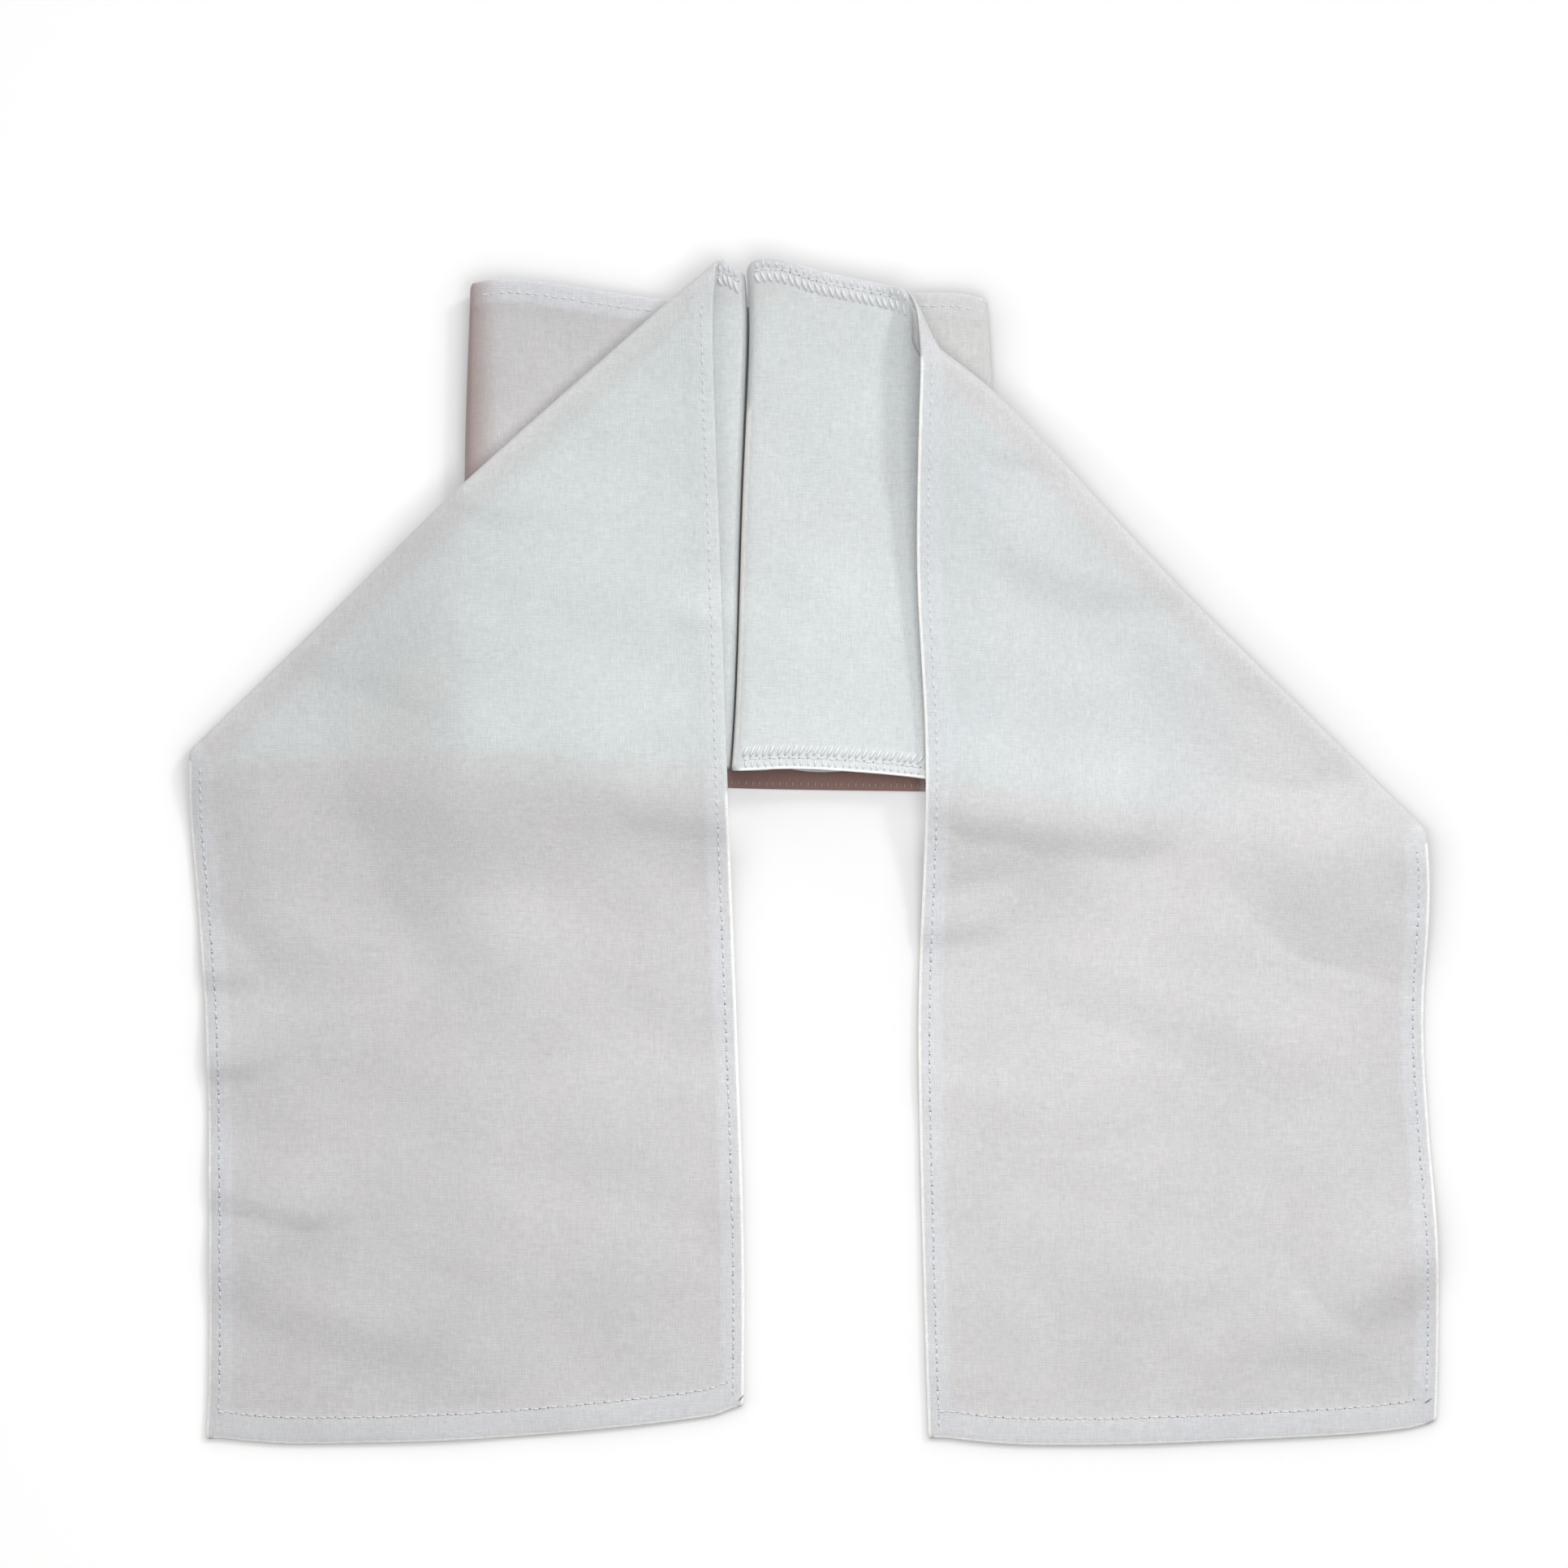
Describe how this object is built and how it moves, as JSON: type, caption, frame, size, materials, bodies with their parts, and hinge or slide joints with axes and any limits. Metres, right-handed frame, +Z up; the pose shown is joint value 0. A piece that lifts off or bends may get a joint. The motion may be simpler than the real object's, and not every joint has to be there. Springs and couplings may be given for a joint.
{
  "type": "baptismal stole",
  "caption": "Plain white hemmed cloth stole, folded flat with its fronts turned down along slanting folds.",
  "frame": {"origin": "on the surface that the folded stole lies on, under the middle of its box", "axes": "+X to the viewer's right across the two fronts, +Y from the end hems to the neck, +Z up"},
  "size_m": [0.3346, 0.3176, 0.0164],
  "materials": {
    "stole_cloth": "thin white plain-weave poly-cotton with a slight sheen, hemmed with white thread"
  },
  "bodies": {
    "root": {"neck_layers": "stole_cloth", "inner_band_left": "stole_cloth", "inner_band_right": "stole_cloth", "front_panel_left": "stole_cloth", "front_panel_right": "stole_cloth"}
  },
  "joints": []
}
